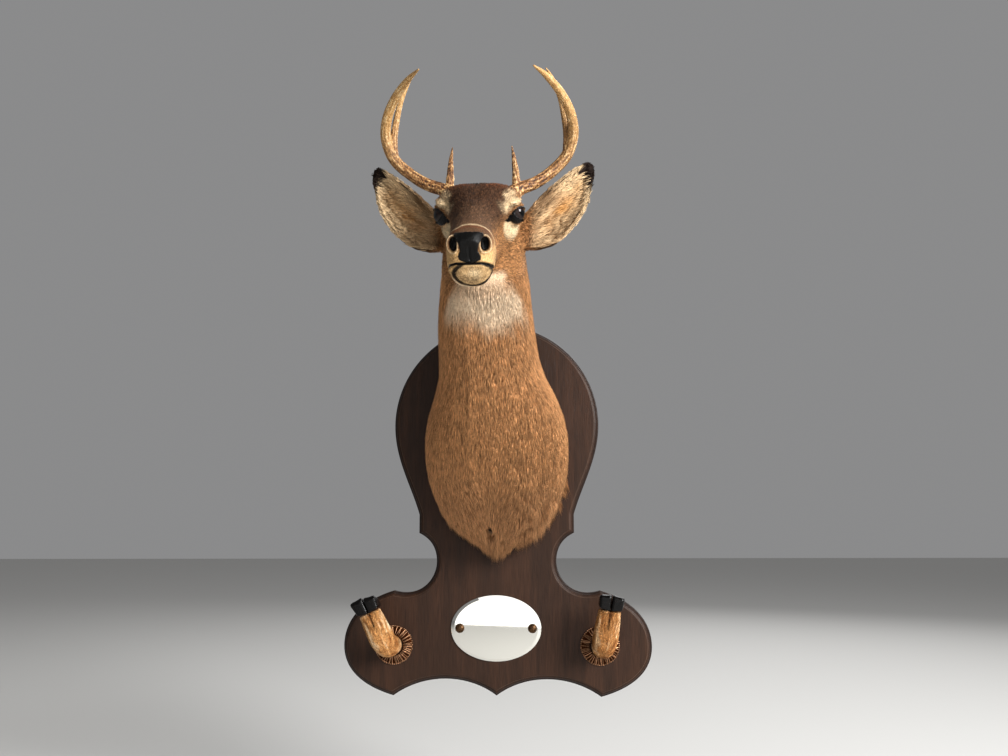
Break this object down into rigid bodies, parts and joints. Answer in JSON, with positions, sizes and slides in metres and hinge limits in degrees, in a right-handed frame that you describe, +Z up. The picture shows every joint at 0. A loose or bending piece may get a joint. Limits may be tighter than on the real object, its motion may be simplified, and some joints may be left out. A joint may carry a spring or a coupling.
{
  "type": "deer shoulder mount",
  "caption": "White-tailed buck's shoulder mount with small antlers, on a shaped dark wood wall board that carries an oval mirror and turned-up deer-foot hooks for hats and coats.",
  "frame": {"origin": "On the flat back of the board, against the wall, level with the middle of the oval mirror and half way across the board.", "axes": "+Z up, +Y into the wall, so the buck looks out along -Y; +X is the buck's left, on the right for someone facing it."},
  "size_m": [0.576, 0.5123, 1.0438],
  "materials": {
    "coat": "short golden brown deer hair lying flat, pale under the throat and in the ears, darker on the face",
    "leg_coat": "very short tan deer hair",
    "eye": "glossy near-black glass eye",
    "antler": "dry antler bone, ivory gold with brown grooves, rough and darker near the burrs",
    "hoof": "polished black horn",
    "board": "very dark brown varnished wood with reddish upright grain",
    "mirror": "silvered glass with a ground edge",
    "bronze": "dark bronze with worn high points"
  },
  "bodies": {
    "root": {"board": "board", "mirror": "mirror", "head": "coat", "neck": "coat", "trunk": "coat", "mirror_screw_left": "bronze", "hook_collar_left": "bronze", "hook_leg_left": "leg_coat", "hook_claw_left_a": "hoof", "hook_dewclaw_left_a": "hoof", "hook_claw_left_b": "hoof", "hook_dewclaw_left_b": "hoof", "ear_left": "coat", "eye_left": "eye", "antler_left_base": "antler", "antler_left_beam": "antler", "antler_left_point": "antler", "antler_left_brow": "antler", "mirror_screw_right": "bronze", "hook_collar_right": "bronze", "hook_leg_right": "leg_coat", "hook_claw_right_a": "hoof", "hook_dewclaw_right_a": "hoof", "hook_claw_right_b": "hoof", "hook_dewclaw_right_b": "hoof", "ear_right": "coat", "eye_right": "eye", "antler_right_base": "antler", "antler_right_beam": "antler", "antler_right_point": "antler", "antler_right_brow": "antler"}
  },
  "joints": []
}
